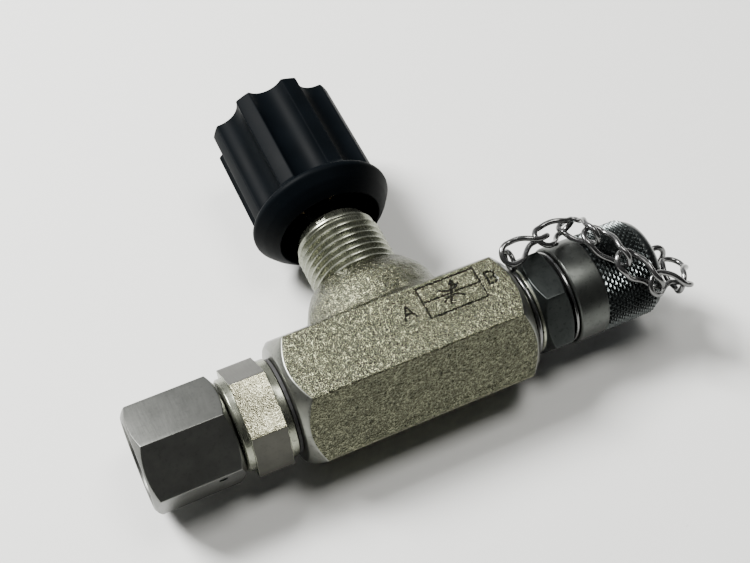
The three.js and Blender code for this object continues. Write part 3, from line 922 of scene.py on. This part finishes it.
def makeCap(settings):
    radius, end, corner = settings["radius"], settings["end"], settings["corner"]
    base = radius - settings["knurlDepth"]
    curve = []
    for k in range(11):
        turn = math.pi / 2 * k / 10
        curve.append((end - corner * (1 - math.sin(turn)), base - corner * (1 - math.cos(turn))))
    profile = [
        (settings["mouth"], settings["bore"] + 0.6), (settings["mouth"], radius - 0.3),
        (settings["mouth"] + 0.3, radius), (settings["bandEnd"] - 0.35, radius), (settings["bandEnd"], base),
        *curve, (end, 1.9), (settings["boreEnd"], 1.9), (settings["boreEnd"], settings["bore"]),
        (settings["mouth"] + 0.6, settings["bore"]), (settings["mouth"], settings["bore"] + 0.6),
    ]
    shell = turned(profile, 0.1, 128)
    spacing = settings["spacing"]
    start = settings["bandEnd"] + spacing * 0.6
    rows = int((end - corner - start) / spacing) + 1
    knurl = grown(knurlTree("knurl"), {
        "Radius": base - 0.02, "Height": settings["knurlDepth"], "Around": settings["around"],
        "Rows": rows, "From": start, "Spacing": spacing,
    })
    whole = joined(shell, knurl)
    layers = ("cap", "knurl")
    coat(whole, *layers)
    # the outer faces past the band get the darker knurl finish: painted shade among the teeth
    for face in whole.polygons:
        x, y, z = face.center
        outside = math.hypot(y, z) > settings["bore"] + 0.4 or x > settings["boreEnd"] + 1
        face.material_index = layers.index("knurl" if outside and x > settings["bandEnd"] else "cap")
    addPiece("capShell", whole, None, "cap", "dark_steel", "cap_shell", smooth=24)


makeCap(cap)

# ---- chain, its neck ring and the cap's eye ----
chain = {"wire": 0.55, "halfWidth": 2.15, "length": 10.6, "ringStation": 25.85, "ringRadius": 9.0, "ringWire": 0.5,
         "eyeTurn": 60.0, "eyeCentre": 11.7, "eyeRadius": 1.9}
hooks = [(24.9, 5.4, 13.1), (32.8, 6.6, 12.5), (40.7, 9, 9.5), (42.1, 2.9, 13.2), (45, -3.8, 12.4),
         (50, -9.8, 8.7), (56.3, -10.2, 5.3), (59.3, -3.2, 1.5)]
linkTurns = [26, 7, 2, -5, 9, 45, -80]
eyelet = {"centre": 57.4, "radius": 2.3, "wire": 0.6, "turn": 70.0, "capEnd": 54.4, "hole": 1.5, "inner": 46.8}


def makeChain(settings):
    tree = linkTree("wire")
    values = {"Length": settings["length"], "Half Width": settings["halfWidth"], "Wire": settings["wire"]}
    for number, (start, end, turn) in enumerate(zip(hooks, hooks[1:], linkTurns), 1):
        link = grown(tree, values)
        along = (Vector(end) - Vector(start)).normalized()
        flat = along.cross(Vector((0, 0, 1))).normalized()
        flat.rotate(Matrix.Rotation(math.radians(turn), 3, along))
        facing = Matrix((along, flat, along.cross(flat))).transposed().to_4x4()
        link.transform(Matrix.Translation((Vector(start) + Vector(end)) / 2) @ facing)
        addPiece(f"chainLink{number}", link, "wire", f"chain_link_{number}", "wire_steel", f"chain_link_{number}",
                 smooth=60)
    band = wireTorus((settings["ringStation"], 0, 0), settings["ringRadius"], settings["ringWire"], count=96)
    turn = math.radians(settings["eyeTurn"])
    away = settings["eyeCentre"]
    eyePlace = (settings["ringStation"], away * math.cos(turn), away * math.sin(turn))
    eye = wireTorus(eyePlace, settings["eyeRadius"], settings["ringWire"])
    addPiece("chainRing", joined(band, eye), "wire", "root", "wire_steel", "chain_ring", smooth=60)


def makeEyelet(settings):
    end = settings["capEnd"]
    rivet = turned([
        (settings["inner"], 0), (settings["inner"], 3.2), (settings["inner"] + 0.5, 3.2),
        (settings["inner"] + 0.5, settings["hole"]), (end + 0.3, settings["hole"]), (end + 0.3, 2.4),
        (end + 0.8, 2.4), (end + 1.1, 1.9), (end + 1.1, 0),
    ], 0.1, 48)
    turn = math.radians(settings["turn"])
    loop = wireTorus((settings["centre"], 0, 0), settings["radius"], settings["wire"], turn)
    addPiece("capEyelet", joined(rivet, loop), "wire", "cap_eyelet", "wire_steel", "cap_eyelet", smooth=50)


makeChain(chain)
makeEyelet(eyelet)
print("cap and chain made")

# ---- knob ----
knob = {"lip": 33.5, "rim": 38.3, "rimRadius": 15.2, "crest": 14.0, "valley": 11.7, "lobes": 8, "firstLobe": 28.0,
        "crestHalf": 7.0, "fluteFrom": 39.3, "end": 64.3, "opening": 10.9, "arcSteps": 16, "screwStation": 50.0}


def gripOutline(settings):
    # (angle, radius) round the grip; angles run from +X towards +Z, with flat crests and hollow arcs between
    crest, valley = settings["crest"], settings["valley"]
    pitch = math.radians(360 / settings["lobes"])
    crestHalf = math.radians(settings["crestHalf"])
    gapHalf = pitch / 2 - crestHalf
    chordHalf, chordReach = crest * math.sin(gapHalf), crest * math.cos(gapHalf)
    sag = chordReach - valley
    arc = (chordHalf ** 2 + sag ** 2) / (2 * sag)
    swing = math.asin(chordHalf / arc)
    points = []
    for lobe in range(settings["lobes"]):
        facing = math.radians(settings["firstLobe"]) + lobe * pitch
        corners = []
        for k in range(7):
            turn = facing - crestHalf + 2 * crestHalf * k / 6
            corners.append((crest * math.cos(turn), crest * math.sin(turn)))
        middle = facing + pitch / 2
        centre = (valley + arc) * math.cos(middle), (valley + arc) * math.sin(middle)
        hollow = []
        for k in range(1, settings["arcSteps"]):
            turn = middle + math.pi + swing - 2 * swing * k / settings["arcSteps"]
            hollow.append((centre[0] + arc * math.cos(turn), centre[1] + arc * math.sin(turn)))
        points += corners + hollow
    loop = points + points[:2]
    smooth = softened(loop, 0.3, 2)
    ring = smooth[1:1 + len(smooth) - 3]
    return [(math.atan2(z, x), math.hypot(x, z)) for x, z in ring]


def makeKnob(settings):
    lip, rim, rimRadius, end = (settings[key] for key in ("lip", "rim", "rimRadius", "end"))
    flute = settings["fluteFrom"]

    def column(radius):
        under = softened([
            (57.6, 0), (57.6, 3.3), (56.4, 3.3), (56.4, 6.8), (43, 6.8), (43, 10), (36, 10.7),
            (lip + 0.2, settings["opening"]), (lip, 11.2), (lip + 1, 12.5), (lip + 2.2, 13.7), (lip + 3.6, 14.7),
            (rim - 0.5, rimRadius - 0.02), (rim + 0.3, rimRadius - 0.05), (flute - 0.2, rimRadius - 0.5),
        ], 0.35)
        grip = softened([
            (flute - 0.1, radius + 0.5), (flute + 0.6, radius), (end, radius - 0.12),
            (end + 0.05, radius * 0.6), (end, 0),
        ], 0.55, 5)
        return under + grip

    columns = []
    for angle, radius in gripOutline(settings):
        columns.append([(r * math.cos(angle), y, r * math.sin(angle)) for y, r in column(radius)])
    shell = skinnedColumns(columns)
    hole = turned([(-16, 0), (-16, 1.9), (-4, 1.9), (-4, 0)], 0, 32)
    hole.transform(Matrix.Rotation(-math.pi / 2, 4, "Y"))
    hole.transform(Matrix.Translation((0, settings["screwStation"], 0)))
    shell = cutBy(shell, hole)
    addPiece("knobGrip", shell, "plastic", "knob", "knob_plastic", "knob", smooth=34)


makeKnob(knob)
print("knob made")

# ---- CAD nodes that stay, with better finishes ----
kept = {
    "stud_seal": "rubber", "cone_o_ring": "rubber", "coupling_seal": "rubber", "probe_seal": "rubber",
    "spindle_o_ring": "rubber", "bonnet_o_ring": "rubber", "cap_seal": "rubber", "backup_ring": "ring",
    "retaining_wire": "wire", "check_spring": "wire", "spring_seat": "nut", "check_poppet": "brass",
    "needle_spindle": "nut", "spindle_bonnet": "thread", "knob_insert": "brass", "set_screw": "coupling",
}
for node, finish in kept.items():
    item = frame["nodes"][node]
    item.data.materials.clear()
    item.data.materials.append(finishes[finish])


# ---- floor and light ----
studio = {"floorSize": 12.0, "floor": (0.8, 0.805, 0.785),
          "sky": [(0.0, 0.02), (0.25, 0.035), (0.5, 0.09), (0.75, 0.22), (0.93, 0.65), (1.0, 0.65)],
          "tint": (0.97, 0.98, 1.0)}


def floorFinish(settings):
    material, shading, surface, place = newMaterial("paleFloor")
    cloud = shading.noise(place, 6.0, 3.0, 0.5)
    dust = shading.ramp(shading.noise(place, 700.0, 2.0, 0.6), [(0.2, 1.0), (0.24, 0.0)])
    dark = tuple(value * 0.96 for value in settings["floor"])
    tone = shading.blend(cloud, (*settings["floor"], 1), (*dark, 1))
    dusty = shading.blend(shading.times(dust, 0.25), tone, (0.4, 0.4, 0.38, 1))
    shading.feed(surface.inputs["Base Color"], dusty)
    surface.inputs["Roughness"].default_value = 0.6
    surface.inputs["Specular IOR Level"].default_value = 0.25
    return material


def makeStudio(settings):
    half = settings["floorSize"] / 2
    mesh = bpy.data.meshes.new("floor")
    mesh.from_pydata([(-half, -half, 0), (half, -half, 0), (half, half, 0), (-half, half, 0)], [], [(0, 1, 2, 3)])
    mesh.materials.append(floorFinish(settings))
    floor = newItem("floor", mesh)
    bpy.context.scene.world = makeSky(settings)


def makeSky(settings):
    # dark in front, brighter towards the back
    world = bpy.data.worlds.new("studio")
    world.use_nodes = True
    world.node_tree.nodes.clear()
    shading = Shading(world.node_tree)
    direction = shading.add("ShaderNodeTexCoord").outputs["Generated"]
    parts = shading.add("ShaderNodeSeparateXYZ", {0: direction}).outputs
    glow = shading.ramp(shading.maths("MULTIPLY_ADD", parts["Y"], 0.5, 0.5), settings["sky"])
    background = shading.add("ShaderNodeBackground", {"Color": (*settings["tint"], 1), "Strength": glow})
    shading.add("ShaderNodeOutputWorld", {"Surface": background.outputs[0]})
    return world


lamps = [
    {"name": "window", "place": (-0.36, 0.39, 0.62), "size": (0.27, 0.27), "power": 21.0,
     "tint": (1.0, 0.995, 0.98)},
    {"name": "ceiling", "place": (0.2, -0.03, 0.85), "size": (0.3, 0.3), "power": 4.0,
     "tint": (1.0, 0.985, 0.95)},
]


def addLamps(settings):
    for lamp in settings:
        data = bpy.data.lights.new(lamp["name"], "AREA")
        data.shape = "RECTANGLE"
        data.size, data.size_y = lamp["size"]
        data.energy = lamp["power"]
        data.color = lamp["tint"]
        item = newItem(lamp["name"], data)
        place = Vector(lamp["place"])
        facing = (-place).to_track_quat("-Z", "Y").to_matrix().to_4x4()
        item.matrix_world = Matrix.Translation(place) @ facing


makeStudio(studio)
addLamps(lamps)
print("floor and lamps placed")
